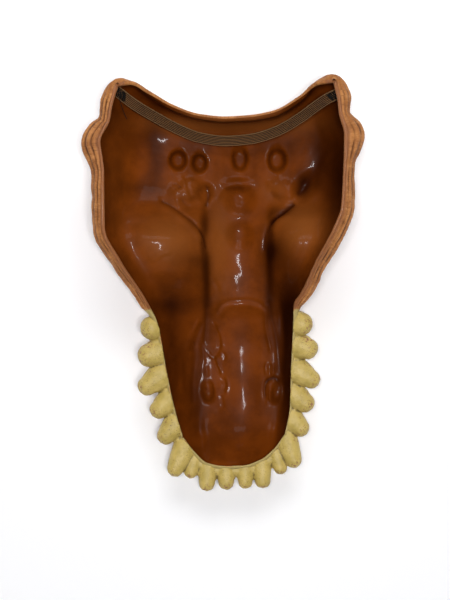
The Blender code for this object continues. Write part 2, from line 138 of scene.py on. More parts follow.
# The wall from the edge down to its foot. Columns: step, out (of the roll), in (of the run), drop
WALL_PROFILE = (
    (0.00, 0.00, 0.00, 0.00),
    (0.08, 0.62, 0.00, 0.05),
    (0.18, 1.00, 0.00, 0.16),
    (0.32, 0.80, 0.03, 0.36),
    (0.50, 0.35, 0.14, 0.62),
    (0.72, 0.05, 0.43, 0.89),
    (0.86, 0.01, 0.68, 0.972),
    (0.94, 0.00, 0.85, 0.994),
    (1.00, 0.00, 1.00, 1.00),
)

# Sections of the floor from the back to the nose. Columns: along, centre, half, then heights: floor of
# the channel, lip, cheek and foot on the left, and the same on the right
FLOOR_SECTIONS = (
    (0.78, 0.124, 0.21, 0.100, 0.150, 0.205, 0.260, 0.150, 0.205, 0.260),
    (0.64, 0.124, 0.21, 0.082, 0.135, 0.195, 0.255, 0.135, 0.195, 0.255),
    (0.50, 0.117, 0.21, 0.088, 0.140, 0.205, 0.265, 0.135, 0.200, 0.260),
    (0.40, 0.110, 0.21, 0.095, 0.155, 0.235, 0.305, 0.150, 0.225, 0.300),
    (0.30, 0.103, 0.21, 0.100, 0.250, 0.355, 0.370, 0.250, 0.375, 0.410),
    (0.20, 0.103, 0.206, 0.105, 0.335, 0.450, 0.400, 0.320, 0.470, 0.450),
    (0.06, 0.110, 0.199, 0.108, 0.280, 0.405, 0.385, 0.260, 0.395, 0.415),
    (-0.08, 0.124, 0.206, 0.095, 0.170, 0.250, 0.320, 0.155, 0.240, 0.320),
    (-0.18, 0.131, 0.227, 0.050, 0.115, 0.190, 0.250, 0.080, 0.150, 0.220),
    (-0.32, 0.145, 0.241, 0.023, 0.075, 0.125, 0.170, 0.062, 0.095, 0.140),
    (-0.56, 0.152, 0.250, 0.023, 0.060, 0.080, 0.105, 0.058, 0.070, 0.095),
    (-0.70, 0.130, 0.240, 0.055, 0.062, 0.080, 0.100, 0.062, 0.080, 0.100),
    (-0.86, 0.130, 0.220, 0.180, 0.185, 0.190, 0.200, 0.185, 0.190, 0.200),
)

# Local forms of the floor, shared with the solid. Columns: across, along, wide, long, rise, turn, flat
FORMS = (
    (-0.316, 0.589, 0.0074, 0.0086, -0.0120, 0, 0.55),
    (-0.163, 0.575, 0.0066, 0.0088, -0.0105, 0, 0.50),
    (0.124, 0.594, 0.0066, 0.0105, -0.0090, 0, 0.50),
    (0.387, 0.589, 0.0080, 0.0104, -0.0120, 0, 0.55),
    (0.103, 0.475, 0.0160, 0.0060, 0.0035, 0, 0.20),
    (0.124, 0.400, 0.0140, 0.0130, -0.0050, 0, 0.20),
    (0.124, 0.230, 0.0120, 0.0130, -0.0035, 0, 0.20),
    (-0.270, 0.440, 0.0170, 0.0120, 0.0050, 20, 0.20),
    (-0.120, 0.435, 0.0080, 0.0090, -0.0040, 0, 0.20),
    (0.440, 0.445, 0.0150, 0.0110, 0.0040, -20, 0.20),
    (0.585, 0.460, 0.0110, 0.0160, -0.0060, -38, 0.10),
    (-0.480, 0.600, 0.0110, 0.0420, -0.0006, 0, 0.10),
    (0.690, 0.600, 0.0110, 0.0320, -0.0008, -20, 0.10),
    (-0.105, -0.525, 0.0060, 0.0100, 0.0050, 10, 0.20),
    (0.387, -0.530, 0.0060, 0.0100, 0.0055, -10, 0.20),
)
FORM_EDGE = 1.25

# Fine relief of the hollow. Columns: the places that a ridge or a groove runs through (photograph
# pixels), half its width (pixels), rise (millimetres; negative is a groove)
STROKES = (
    # Left eye
    (((174, 178), (180, 178), (184, 182), (185, 189)), 2.0, 1.0),
    (((172, 184), (177, 184), (181, 188)), 1.6, -0.9),
    (((173.5, 193), (182, 189.5)), 1.3, 1.0),
    (((174, 189.5), (182, 186.5)), 1.0, -1.0),
    (((183, 192), (187, 194), (190, 200)), 1.7, 1.1),
    (((176, 197), (177.5, 201), (178.5, 207)), 1.5, 0.9),
    (((188, 181), (192, 182), (198, 184)), 2.0, 1.2),
    (((189, 188), (193, 189), (198, 189)), 1.5, 0.8),
    (((191, 193), (195, 195.5), (201, 199.5)), 1.6, 1.1),
    (((187, 186), (190, 191), (189, 197)), 1.2, -0.8),
    (((181, 197), (184, 203), (190, 207)), 1.8, -0.8),
    (((206, 185), (208.5, 195), (206, 208)), 2.2, -1.5),
    (((186, 176), (187.5, 186)), 1.2, -0.7),
    # Cheek edges beside the channel
    (((160, 200), (173, 207), (183, 214.5), (193, 222), (200, 230), (205, 239), (207, 250)), 1.6, -1.5),
    (((158, 204), (172, 212), (182, 219), (190, 226), (197, 234), (202, 243)), 3.0, 0.9),
    (((296, 203), (285, 211.5), (274, 219), (267.5, 229), (264.5, 240), (264, 252)), 1.8, -1.7),
    (((300, 208), (287, 216), (277, 224), (271, 233)), 3.0, 0.9),
    # Middle of the brow
    (((217, 200), (221, 191), (228, 186), (238, 183.5), (245, 186)), 2.2, 1.1),
    (((224, 178), (229, 177)), 1.6, 0.6),
    (((236, 196), (239, 203), (244, 204)), 1.8, 0.6),
    (((243.2, 198.4), (243.9, 199.4)), 1.1, -2.0),
    (((192, 154.2), (206, 154.4)), 1.1, 0.8),
    (((170, 172), (178, 173.5), (186, 171)), 1.6, 0.5),
    # Right eye
    (((267, 182), (271, 184.5), (276, 182.5)), 2.2, 1.1),
    (((276, 177), (282, 178)), 1.8, 0.6),
    (((270, 190), (273, 195), (276, 199)), 2.6, -0.9),
    (((278, 192), (279, 197)), 1.3, 0.7),
    (((288, 197), (293, 195.5)), 1.8, 0.9),
    (((296.5, 197), (295.6, 204)), 1.2, 0.9),
    (((297, 196), (302, 190), (308, 181)), 3.2, -1.7),
    (((268, 224), (276, 217), (285, 209), (294, 201)), 2.2, -1.2),
    # Side walls
    (((326, 148), (318, 165), (312, 176), (306, 186)), 4.5, -1.2),
    (((314, 118), (319, 130), (325, 146)), 4.0, -0.7),
    # Left cheek, streaks
    (((168, 238.5), (179, 238.6)), 1.7, 0.5),
    (((148, 259), (157, 252), (165, 249)), 1.5, 0.5),
    (((152, 262), (161, 255), (171, 252)), 1.3, 0.5),
    (((158, 262), (166, 256), (172, 255)), 1.2, -0.4),
    # Bridge of the nose
    (((216, 314), (222, 304.5), (233, 300.8), (248, 300.4), (260, 303.8), (266, 311)), 1.7, -0.8),
    (((219, 317), (225, 309), (234, 305.4), (247, 305.2), (257, 308), (263, 314)), 2.4, 0.5),
    (((211, 277), (216, 284), (219, 291)), 1.8, 0.7),
    (((213, 231), (214, 240)), 2.4, 0.4),
    # Left edge of the nose
    (((213, 322), (216, 330), (219.5, 339), (219, 349), (213, 357)), 1.6, 1.0),
    (((217, 326), (221, 336), (223, 346)), 1.5, -0.7),
    (((208, 352), (213, 357.5), (219, 353)), 1.2, 0.7),
    (((213, 358), (216, 366), (219.5, 374.5)), 1.0, 0.9),
    (((216, 357), (219, 365), (222, 373)), 0.9, -0.8),
    (((221, 379), (225, 383), (224, 391)), 1.8, 1.0),
    (((226, 378), (228, 386), (226, 394)), 1.3, -0.7),
    (((222, 352), (225, 357), (223, 361)), 1.6, 0.7),
    (((206.5, 367), (207.5, 377)), 1.4, 0.6),
    (((202, 345), (203.5, 360), (202, 376)), 1.6, -0.6),
    (((215.5, 408), (219, 410.5), (221.5, 408.5)), 1.2, 0.7),
    (((221, 395), (223, 408)), 1.8, 0.6),
    # Left nostril
    (((205, 384), (209, 382.5), (212, 386), (211.5, 393), (208, 399), (205, 397)), 1.2, 1.0),
    (((204.8, 386.5), (205.6, 390)), 1.3, -1.8),
    (((208, 388), (208.5, 393)), 1.3, -0.8),
    # Right nostril
    (((265, 384), (269, 379.5), (274, 378.2), (280, 382)), 1.9, -1.8),
    (((265.5, 384), (264.5, 392), (265.5, 399)), 1.7, -1.2),
    (((270, 387), (269.4, 394), (269.8, 401)), 1.0, 1.0),
    (((266, 402), (269, 403)), 1.5, 0.7),
    (((274, 384), (279, 384.5), (281, 391)), 2.0, 0.7),
    # Right edge of the nose
    (((263, 307), (265.5, 316), (266, 328), (269, 342), (271, 352)), 1.7, 0.8),
    (((266.7, 363), (265.6, 368), (266.5, 375)), 1.2, 0.9),
    (((273, 364), (274, 370), (272, 376)), 1.1, 0.8),
    (((269.8, 363), (269.8, 376)), 1.0, -0.8),
    (((268, 300), (276, 337), (279, 360), (281, 375)), 2.4, -0.9),
    # Left wall of the snout
    (((199, 320), (193, 333), (186, 350)), 1.6, 0.9),
    (((203, 322), (197, 336), (191, 352)), 1.8, -0.6),
    (((181.5, 360), (181.5, 376), (183, 391)), 2.6, 0.7),
    (((195, 340), (194, 362), (192.5, 385), (193, 404)), 1.8, -0.8),
    (((206.5, 305), (206, 325), (204, 344)), 1.8, -0.9),
    # Nose floor
    (((227, 427.4), (238, 428), (247, 427)), 1.2, -0.3),
)

# Teeth, from the left jaw corner round the front to the right one, in photograph pixels. Columns: root
# x and y, tip x and y (middle of its round end), root half width, tip radius
TEETH = (
    (161.0, 325.0, 152.0, 328.0, 13.0, 12.4),
    (165.0, 349.0, 148.8, 355.3, 14.0, 12.0),
    (167.0, 371.0, 147.2, 386.0, 14.5, 10.2),
    (173.0, 396.0, 158.6, 409.8, 13.5, 9.5),
    (180.0, 418.0, 165.9, 435.6, 13.5, 9.4),
    (189.0, 438.0, 175.3, 468.6, 13.0, 8.7),
    (196.0, 452.0, 190.7, 472.0, 9.8, 7.1),
    (208.0, 459.0, 206.9, 483.4, 10.6, 8.3),
    (226.0, 463.0, 226.3, 482.0, 10.6, 8.2),
    (245.0, 463.0, 245.5, 482.0, 10.6, 7.4),
    (261.0, 457.0, 262.7, 480.8, 10.6, 8.2),
    (274.0, 446.0, 280.5, 468.0, 9.6, 7.0),
    (284.0, 432.0, 293.6, 460.0, 12.0, 8.7),
    (287.0, 414.0, 301.0, 428.0, 13.0, 9.2),
    (289.0, 390.0, 305.2, 403.0, 13.6, 10.0),
    (291.0, 366.0, 311.6, 379.6, 14.0, 9.4),
    (293.0, 343.0, 307.8, 348.6, 13.6, 11.0),
    (294.0, 322.0, 301.6, 324.0, 12.8, 11.8),
)
TOOTH_DEPTH = 0.72
TOOTH_ROOT_DROP = 0.0078
TOOTH_RISE = math.radians(8)
GUM_RADIUS = (0.0060, 0.0054)  # of the fused band along the roots, level and upright
GUM_OUT = 0.0046  # from the edge of the opening to the middle of the band
GUM_DROP = 0.0062
TOOTH_VOXEL = 0.00085
ROOT_DEPTH = 0.0012  # how far into the wall the roots end
TOOTH_ROW = (-0.170, -0.120)

# The strap's way, shared with the solid. Columns: across, along, height
STRAP_LINE = (
    (-0.621, 0.854, 0.630),
    (-0.514, 0.810, 0.510),
    (-0.301, 0.733, 0.360),
    (-0.160, 0.697, 0.285),
    (0.018, 0.681, 0.245),
    (0.195, 0.690, 0.255),
    (0.372, 0.724, 0.310),
    (0.550, 0.791, 0.440),
    (0.677, 0.854, 0.585),
    (0.748, 0.885, 0.680),
)
# Columns: across, down, standoff (of the strap's width)
STRAP_ENDS = (
    (0.046, 0.034, 0.245),
    (0.966, 0.035, 0.295),
)
STRAP_WIDTH = 0.010
STRAP_THICKNESS = 0.0012
STRAP_TILT = math.radians(14)
STRAP_RIBS = 7
RIB_HEIGHT = 0.00032
STRAP_STEPS = 420
GAP = 0.0003
SKIN_PROBE = 0.004

THREAD_RADIUS = 0.00048

# The thick rounded edge of the skin, and the folds that run along it outside
BEAD = 0.0008
BEAD_REACH = 0.0022
CORNER_REACH = 0.010
FOLDS = 3.0

STAGE_RADIUS = 9.0
STAGE_HEIGHT = 1.8

# Places in the hollow where light (paler) or shade (darker) is painted into the colour. Columns: x, y, half width
# and half height in photograph pixels, amount (positive is painted light, negative is painted shade)
PAINTED_LIGHT_AND_SHADE = (
    (168, 240, 32, 26, 0.85),
    (122, 272, 14, 26, -0.35),
    (303, 228, 26, 26, 0.95),
    (110, 180, 18, 60, 0.20),
    (240, 430, 45, 30, -0.30),
    (219, 245, 14, 45, 0.60),
    (180, 122, 30, 10, 0.45),
    (240, 122, 80, 11, 1.00),
    (185, 190, 20, 14, 0.30),
    (272, 190, 14, 12, 0.35),
    (340, 175, 20, 60, -0.85),
    (292, 300, 18, 40, -0.80),
    (285, 370, 12, 60, -0.80),
    (172, 340, 14, 60, -0.60),
    (198, 395, 11, 45, -0.65),
    (303, 185, 8, 14, -0.95),
    (155, 150, 9, 38, -0.60),
    (135, 188, 24, 7, -0.45),
    (318, 158, 9, 36, -0.60),
    (165, 304, 34, 12, -0.55),
    (207, 290, 5, 42, -0.75),
    (269, 285, 6, 45, -0.75),
    (273, 250, 9, 13, -0.70),
    (281, 212, 16, 5, -0.55),
    (290, 150, 8, 14, -0.55),
    (206, 222, 5, 14, -0.60),
    (196, 262, 12, 9, -0.45),
)


def column(table, index):
    return np.array([row[index] for row in table], float)


def smooth(knots, values, at):
    """A smooth curve through the knots with no overshoot. Values may have one row for each point."""
    step = np.diff(knots, axis=-1)
    rise = np.diff(values, axis=-1) / step
    ahead, behind = rise[..., 1:], rise[..., :-1]
    same = ahead * behind > 0
    mean = 2 * ahead * behind / np.where(same, ahead + behind, 1)
    inner = np.where(same, mean, 0)
    slope = np.concatenate([rise[..., :1], inner, rise[..., -1:]], axis=-1)
    if knots.ndim == 1:
        cell = np.clip(np.searchsorted(knots, at) - 1, 0, len(knots) - 2)

        def pick(array):
            return array[..., cell]
    else:
        cell = np.clip((at[:, None] > knots).sum(axis=1) - 1, 0, knots.shape[1] - 2)
        row = np.arange(len(at))

        def pick(array):
            return array[row, cell]

    width = pick(step)
    t = np.clip((at - pick(knots[..., :-1])) / width, 0, 1)
    low, high = pick(values[..., :-1]), pick(values[..., 1:])
    start, end = pick(slope[..., :-1]) * width, pick(slope[..., 1:]) * width
    return (
        low * (1 + 2 * t) * (1 - t) ** 2
        + start * t * (1 - t) ** 2
        + high * t**2 * (3 - 2 * t)
        - end * t**2 * (1 - t)
    )


def edge_curve(table):
    """One side of the opening as a function of its share: rows of x, y, height, roll and run."""
    scale = (HALF_WIDTH, HALF_LENGTH, MASK_DEPTH, RIM_ROLL, WALL_RUN)
    rows = np.array(table, float).T * np.array(scale)[:, None]
    chord = np.hypot(np.diff(rows[0]), np.diff(rows[1]))
    share = np.concatenate([[0], np.cumsum(chord)]) / chord.sum()
    return lambda at: smooth(share, rows, at)


BACK = edge_curve((BACK_LEFT, *BACK_EDGE, BACK_RIGHT))
FRONT = edge_curve((FRONT_LEFT, *FRONT_EDGE, FRONT_RIGHT))
LEFT = edge_curve((BACK_LEFT, *LEFT_EDGE, FRONT_LEFT))
RIGHT = edge_curve((BACK_RIGHT, *RIGHT_EDGE, FRONT_RIGHT))


def rim_loop():
    """The whole edge of the opening, clockwise from the back left corner, closed."""
    share = np.linspace(0, 1, RIM_SAMPLES // 4, endpoint=False)
    return np.concatenate([BACK(share), RIGHT(share), FRONT(1 - share), LEFT(1 - share)], axis=1)


def patch_plan(across, down):
    """Plan points of the patch that the four sides bound."""
    left, right = LEFT(down)[:2], RIGHT(down)[:2]
    back, front = BACK(across)[:2], FRONT(across)[:2]
    corner = [BACK(np.array([end]))[:2] for end in (0, 1)]
    corner += [FRONT(np.array([end]))[:2] for end in (0, 1)]
    return (
        (1 - across) * left
        + across * right
        + (1 - down) * back
        + down * front
        - (1 - across) * (1 - down) * corner[0]
        - across * (1 - down) * corner[1]
        - (1 - across) * down * corner[2]
        - across * down * corner[3]
    )


def near_rim_chunk(plan, rim, ahead, run, length, outward, around):
    offset = plan[:, :, None] - rim[:2, None, :]
    share = np.clip((offset * run[:, None, :]).sum(axis=0) / length**2, 0, 1)
    apart = offset - share * run[:, None, :]
    squared = (apart**2).sum(axis=0)
    nearest_at = squared.argmin(axis=1)
    nearest = np.sqrt(squared.min(axis=1))
    weight = length / (squared + RIM_SOFTENING**2) ** 3
    rounded = (3 / 8 * math.pi / weight.sum(axis=1)) ** 0.2
    soft = np.clip(nearest / RIM_BLEND, 0, 1)
    distance = nearest + (np.minimum(rounded, nearest) - nearest) * soft
    weight /= weight.sum(axis=1, keepdims=True)
    middle = (rim + ahead) / 2
    direction = weight @ outward.T
    direction /= np.hypot(*direction.T)[:, None] + 1e-9
    return np.vstack([distance, direction.T, (weight @ middle[2:].T).T, around[nearest_at]])


def near_rim(plan):
    """Rows for each point: distance to the rim, the direction out of it (2), its height, roll and run
    near the point, and the length along the rim to the nearest place."""
    rim = rim_loop()
    ahead = np.roll(rim, -1, axis=1)
    run = ahead[:2] - rim[:2]
    length = np.hypot(*run)
    outward = np.stack([-run[1], run[0]]) / length
    around = np.concatenate([[0], np.cumsum(length)[:-1]])
    parts = [
        near_rim_chunk(plan[:, at : at + CHUNK], rim, ahead, run, length, outward, around)
        for at in range(0, plan.shape[1], CHUNK)
    ]
    return np.concatenate(parts, axis=1)


def local_form(x, y, form):
    """The rise of one local form: level in its middle, falling smoothly to nothing at its edge."""
    across, along, wide, long, rise, turn, flat = form
    cos, sin = math.cos(math.radians(turn)), math.sin(math.radians(turn))
    dx, dy = x - across * HALF_WIDTH, y - along * HALF_LENGTH
    reach = np.hypot((dx * cos + dy * sin) / wide, (dy * cos - dx * sin) / long)
    share = np.clip((FORM_EDGE - reach) / (FORM_EDGE - flat), 0, 1)
    return rise * share**2 * (3 - 2 * share)


def floor_height(x, y):
    """Height of the inner skin's floor. Where it is lowest, the outside of the wall lies on the surface."""
    along = column(FLOOR_SECTIONS, 0)[::-1] * HALF_LENGTH
    values = np.array([column(FLOOR_SECTIONS, i)[::-1] for i in range(1, 10)])
    here = smooth(along, values, np.clip(y, along[0], along[-1]))
    centre, half = here[0] * HALF_WIDTH, here[1] * HALF_WIDTH
    floor, lip_l, cheek_l, foot_l, lip_r, cheek_r, foot_r = here[2:] * MASK_DEPTH
    sides = []
    for side, start, end in ((LEFT_EDGE, BACK_LEFT, FRONT_LEFT), (RIGHT_EDGE, BACK_RIGHT, FRONT_RIGHT)):
        rows = (start, *side, end)
        edge_y = column(rows, 1)[::-1] * HALF_LENGTH
        edge_x = column(rows, 0)[::-1] * HALF_WIDTH
        sides.append(smooth(edge_y, edge_x, np.clip(y, edge_y[0], edge_y[-1])))
    left, right = sides
    lip_left = np.maximum(centre - half - LIP_RUN, left + 2 * LIP_RUN)
    lip_right = np.minimum(centre + half + LIP_RUN, right - LIP_RUN)
    knots = np.stack(
        [
            left,
            (left + lip_left) / 2,
            lip_left,
            lip_left + LIP_RUN,
            centre,
            lip_right - LIP_RUN,
            lip_right,
            (right + lip_right) / 2,
            right,
        ],
        axis=1,
    )
    edge_l = floor + np.maximum(CHANNEL_CURVE * (lip_l - floor), CHANNEL_BOW)
    edge_r = floor + np.maximum(CHANNEL_CURVE * (lip_r - floor), CHANNEL_BOW)
    heights = np.stack([foot_l, cheek_l, lip_l, edge_l, floor, edge_r, lip_r, cheek_r, foot_r], axis=1)
    height = smooth(knots, heights, x)
    for form in FORMS:
        height = height + local_form(x, y, form)
    return np.maximum(height, WALL)


def leaned(x, y, z):
    """Points moved out from the middle by the draft of the mould, as rows of x, y and z."""
    grow = 1 + LEAN * (RIM_PLANE - z)
    lean_from = LEAN_AXIS[:, None]
    x, y = TABLE_MIDDLE[:, None] + lean_from + (np.stack([x, y]) - lean_from) * grow
    return np.stack([x, y, z], axis=1)


def seen(px, py):
    """The plan place, in metres, of a place in the photograph."""
    x = (px - PHOTO_MIDDLE[0]) / PHOTO_HALF[0] * HALF_WIDTH
    y = (PHOTO_MIDDLE[1] - py) / PHOTO_HALF[1] * HALF_LENGTH
    return x, y


def spread(cells):
    """Shares from 0 to 1 in this many cells, small near both ends."""
    share = np.linspace(0, 1, SPREAD_SAMPLES)
    size = 1 - RIM_CROWDING * (np.exp(-share / RIM_REACH) + np.exp(-(1 - share) / RIM_REACH))
    count = np.cumsum(1 / size)
    count = (count - count[0]) / (count[-1] - count[0])
    return np.interp(np.linspace(0, 1, cells + 1), count, share)


def skin(across, down):
    """The inner skin: its points, its places in plan before the lean, and the rows of near_rim."""
    plan = patch_plan(across, down)
    rim = near_rim(plan)
    distance, out, rim_height, roll, run = rim[0], rim[1:3], rim[3], rim[4], rim[5]
    step = np.clip(distance / run, 0, 1)
    profile = [column(WALL_PROFILE, i) for i in range(4)]
    swell = smooth(profile[0], profile[1], step) * roll
    inward = smooth(profile[0], profile[2], step) * run
    drop = smooth(profile[0], profile[3], step)
    moved = np.where(step < 1, distance - inward + swell, 0)
    x, y = plan + out * moved
    floor = floor_height(x, y)
    z = rim_height + (floor - rim_height) * drop
    return leaned(x, y, z), np.stack([x, y]), rim


def stroke_rise(x, y, stroke):
    """The rise of one ridge or groove at plan places: round across it, fading out at both ends."""
    points, half_width, rise = stroke
    half = half_width * PIXEL
    px, py = np.array(points, float).T
    count = 6 * (len(points) - 1) + 1
    share = np.linspace(0, 1, len(points))
    fine = np.linspace(0, 1, count)
    way = np.stack(seen(smooth(share, px, fine), smooth(share, py, fine)))
    reach = 3 * half
    near = (x > way[0].min() - reach) & (x < way[0].max() + reach)
    near &= (y > way[1].min() - reach) & (y < way[1].max() + reach)
    result = np.zeros(len(x))
    here = np.stack([x[near], y[near]])
    if not here.size:
        return result
    run = np.diff(way, axis=1)
    length = np.hypot(*run)
    offset = here[:, :, None] - way[:, None, :-1]
    part = np.clip((offset * run[:, None, :]).sum(axis=0) / length**2, 0, 1)
    apart = np.hypot(*(offset - part * run[:, None, :]))
    best = apart.argmin(axis=1)
    row = np.arange(len(best))
    along = (np.cumsum(length) - length)[best] + part[row, best] * length[best]
    ends = np.minimum(along, length.sum() - along) / (1.6 * half)
    fade = np.clip(0.25 + ends, 0, 1)
    result[near] = rise / 1000 * fade * np.exp(-((apart[row, best] / half) ** 2))
    return result


def waves(points, scale, seed):
    """Smooth noise between -1 and 1 at each point, with features of about this size."""
    shift = np.array([seed * 3.7, seed * 1.3, seed * 2.1])
    return np.array([noise.noise(Vector(point)) for point in (points / scale + shift)])


def grid_normals(points, rows, cols):
    grid = points.reshape(rows, cols, 3)
    down = np.gradient(grid, axis=0)
    across = np.gradient(grid, axis=1)
    normal = np.cross(down, across)
    normal /= np.linalg.norm(normal, axis=2, keepdims=True) + 1e-12
    return normal.reshape(-1, 3)


def linear(*srgb):
    """Linear colour from 0 to 255 screen values."""
    share = [value / 255 for value in srgb]
    return tuple(v / 12.92 if v <= 0.04045 else ((v + 0.055) / 1.055) ** 2.4 for v in share)


class Shader:
    """A Principled material with small helpers for its node graph."""

    def __init__(self, name, roughness, colour=(0.5, 0.5, 0.5)):
        self.material = bpy.data.materials.new(name)
        self.material.use_nodes = True
        self.nodes = self.material.node_tree.nodes
        self.links = self.material.node_tree.links
        self.surface = self.nodes["Principled BSDF"]
        self.surface.inputs["Roughness"].default_value = roughness
        self.surface.inputs["Base Color"].default_value = (*colour, 1)
        self.place = self.nodes.new("ShaderNodeNewGeometry").outputs["Position"]

    def set(self, **values):
        for name, value in values.items():
            self.surface.inputs[name.replace("_", " ")].default_value = value

    def link(self, source, socket):
        self.links.new(source, self.surface.inputs[socket])

    def attribute(self, name):
        node = self.nodes.new("ShaderNodeAttribute")
        node.attribute_name = name
        return node.outputs["Fac"]

    def vector_attribute(self, name):
        node = self.nodes.new("ShaderNodeAttribute")
        node.attribute_name = name
        return node.outputs["Vector"]

    def stretch(self, source, scale):
        node = self.nodes.new("ShaderNodeMapping")
        node.inputs["Scale"].default_value = scale
        self.links.new(source, node.inputs["Vector"])
        return node.outputs["Vector"]

    def noise(self, scale, detail=2.0, roughness=0.5, vector=None, distortion=0.0):
        node = self.nodes.new("ShaderNodeTexNoise")
        node.inputs["Scale"].default_value = scale
        node.inputs["Detail"].default_value = detail
        node.inputs["Roughness"].default_value = roughness
        node.inputs["Distortion"].default_value = distortion
        self.links.new(vector or self.place, node.inputs["Vector"])
        return node.outputs["Fac"]

    def cells(self, scale, feature="DISTANCE_TO_EDGE", vector=None):
        node = self.nodes.new("ShaderNodeTexVoronoi")
        node.feature = feature
        node.inputs["Scale"].default_value = scale
        self.links.new(vector or self.place, node.inputs["Vector"])
        return node.outputs["Distance"]

    def band(self, source, low, high, start=0.0, end=1.0):
        node = self.nodes.new("ShaderNodeMapRange")
        node.interpolation_type = "SMOOTHSTEP"
        node.inputs["From Min"].default_value = low
        node.inputs["From Max"].default_value = high
        node.inputs["To Min"].default_value = start
        node.inputs["To Max"].default_value = end
        self.links.new(source, node.inputs["Value"])
        return node.outputs["Result"]

    def math(self, kind, first, second):
        node = self.nodes.new("ShaderNodeMath")
        node.operation = kind
        for socket, value in zip(node.inputs, (first, second)):
            if isinstance(value, (int, float)):
                socket.default_value = value
            else:
                self.links.new(value, socket)
        return node.outputs["Value"]

    def mix(self, share, first, second):
        node = self.nodes.new("ShaderNodeMix")
        node.data_type = "RGBA"
        self.links.new(share, node.inputs["Factor"])
        for socket, value in ((node.inputs["A"], first), (node.inputs["B"], second)):
            if isinstance(value, tuple):
                socket.default_value = (*value, 1)
            else:
                self.links.new(value, socket)
        return node.outputs["Result"]

    def bump(self, height, depth, below=None):
        node = self.nodes.new("ShaderNodeBump")
        node.inputs["Distance"].default_value = depth
        self.links.new(height, node.inputs["Height"])
        if below:
            self.links.new(below, node.inputs["Normal"])
        return node.outputs["Normal"]


def hollow_material():
    """Brown latex, a little uneven in colour, with light and shade painted in: paler where light is painted, darker
    where shade is painted, in its grooves and in the undercut behind the back edge, and paler along its lip as a
    painted highlight; a soft pebble in its gloss.
    """
    made = Shader("hollow_latex", 0.46)
    made.set(Specular_IOR_Level=0.045, Coat_Weight=0.05, Coat_Roughness=0.09)
    clouds = made.band(made.noise(38, 4, 0.6), 0.35, 0.68)
    colour = made.mix(clouds, linear(92, 40, 3), linear(112, 51, 6))
    # Painted light where pale, painted shade where dark
    colour = made.mix(made.attribute("pale"), colour, linear(128, 70, 26))
    colour = made.mix(made.attribute("dark"), colour, linear(42, 13, 1))
    # Painted shade in the grooves of the relief and in the undercut behind the back edge
    groove_shade = made.attribute("groove")
    colour = made.mix(made.band(groove_shade, 0.05, 1.0), colour, linear(46, 14, 2))
    # Painted highlight: paler along the rolled lip of the opening
    edge = made.band(made.attribute("edge"), 0.3, 0.9)
    colour = made.mix(edge, colour, linear(134, 84, 50))
    made.link(colour, "Base Color")
    pebble = made.bump(made.noise(520, 2, 0.5), 0.00004)
    made.link(made.bump(made.noise(150, 3, 0.55), 0.00012, pebble), "Normal")
    return made.material


def skin_material():
    """Matt tan outer skin, darkened in its creases as painted shade, with fine ticks across the folds of the rim."""
    made = Shader("tan_skin", 0.60)
    made.set(Specular_IOR_Level=0.22)
    patches = made.band(made.noise(70, 4, 0.6), 0.35, 0.68)
    colour = made.mix(patches, linear(152, 95, 48), linear(182, 121, 66))
    ticks = made.noise(1, 4, 0.65, made.stretch(made.vector_attribute("grain"), (620, 430, 1)), 0.4)
    colour = made.mix(made.band(ticks, 0.52, 0.68, 0.0, 0.45), colour, linear(198, 146, 90))
    colour = made.mix(made.band(ticks, 0.47, 0.33, 0.0, 0.55), colour, linear(110, 66, 34))
    # Painted shade in the creases of the folds
    crease_shade = made.band(made.attribute("crease_shade"), 0.10, 0.80)
    colour = made.mix(crease_shade, colour, linear(84, 44, 20))
    rolled = made.band(made.attribute("edge"), 0.35, 0.85)
    colour = made.mix(rolled, colour, linear(142, 90, 54))
    made.link(made.band(made.attribute("edge"), 0.35, 0.85, 0.60, 0.30), "Roughness")
    lip = made.band(made.attribute("gum"), 0.35, 0.65)
    colour = made.mix(lip, colour, linear(176, 156, 98))
    made.link(colour, "Base Color")
    scales = made.bump(made.cells(430), 0.0004)
    made.link(made.bump(ticks, 0.0004, scales), "Normal")
    return made.material


def tooth_material():
    """Cream paint, darkened in the creases as painted shade, worn to brown at the tips, with small dark chips."""
    made = Shader("tooth_paint", 0.48)
    made.set(Specular_IOR_Level=0.4)
    patches = made.band(made.noise(90, 4, 0.6), 0.3, 0.7)
    colour = made.mix(patches, linear(172, 149, 74), linear(192, 167, 92))
    # Painted shade in the creases between and round the teeth
    tooth_crease_shade = made.band(made.attribute("crease"), 0.15, 0.9, 0.0, 0.8)
    colour = made.mix(tooth_crease_shade, colour, linear(92, 76, 36))
    worn = made.math("MULTIPLY", made.attribute("tip"), made.band(made.noise(330, 4, 0.65), 0.55, 0.61))
    colour = made.mix(worn, colour, linear(138, 88, 62))
    chips = made.math("MULTIPLY", made.band(made.noise(1000, 3, 0.6), 0.61, 0.64), made.attribute("specks"))
    colour = made.mix(chips, colour, linear(84, 52, 24))
    made.link(colour, "Base Color")
    dents = made.bump(made.noise(240, 3, 0.5), 0.0006)
    made.link(made.bump(made.noise(1500, 2, 0.5), 0.00015, dents), "Normal")
    return made.material


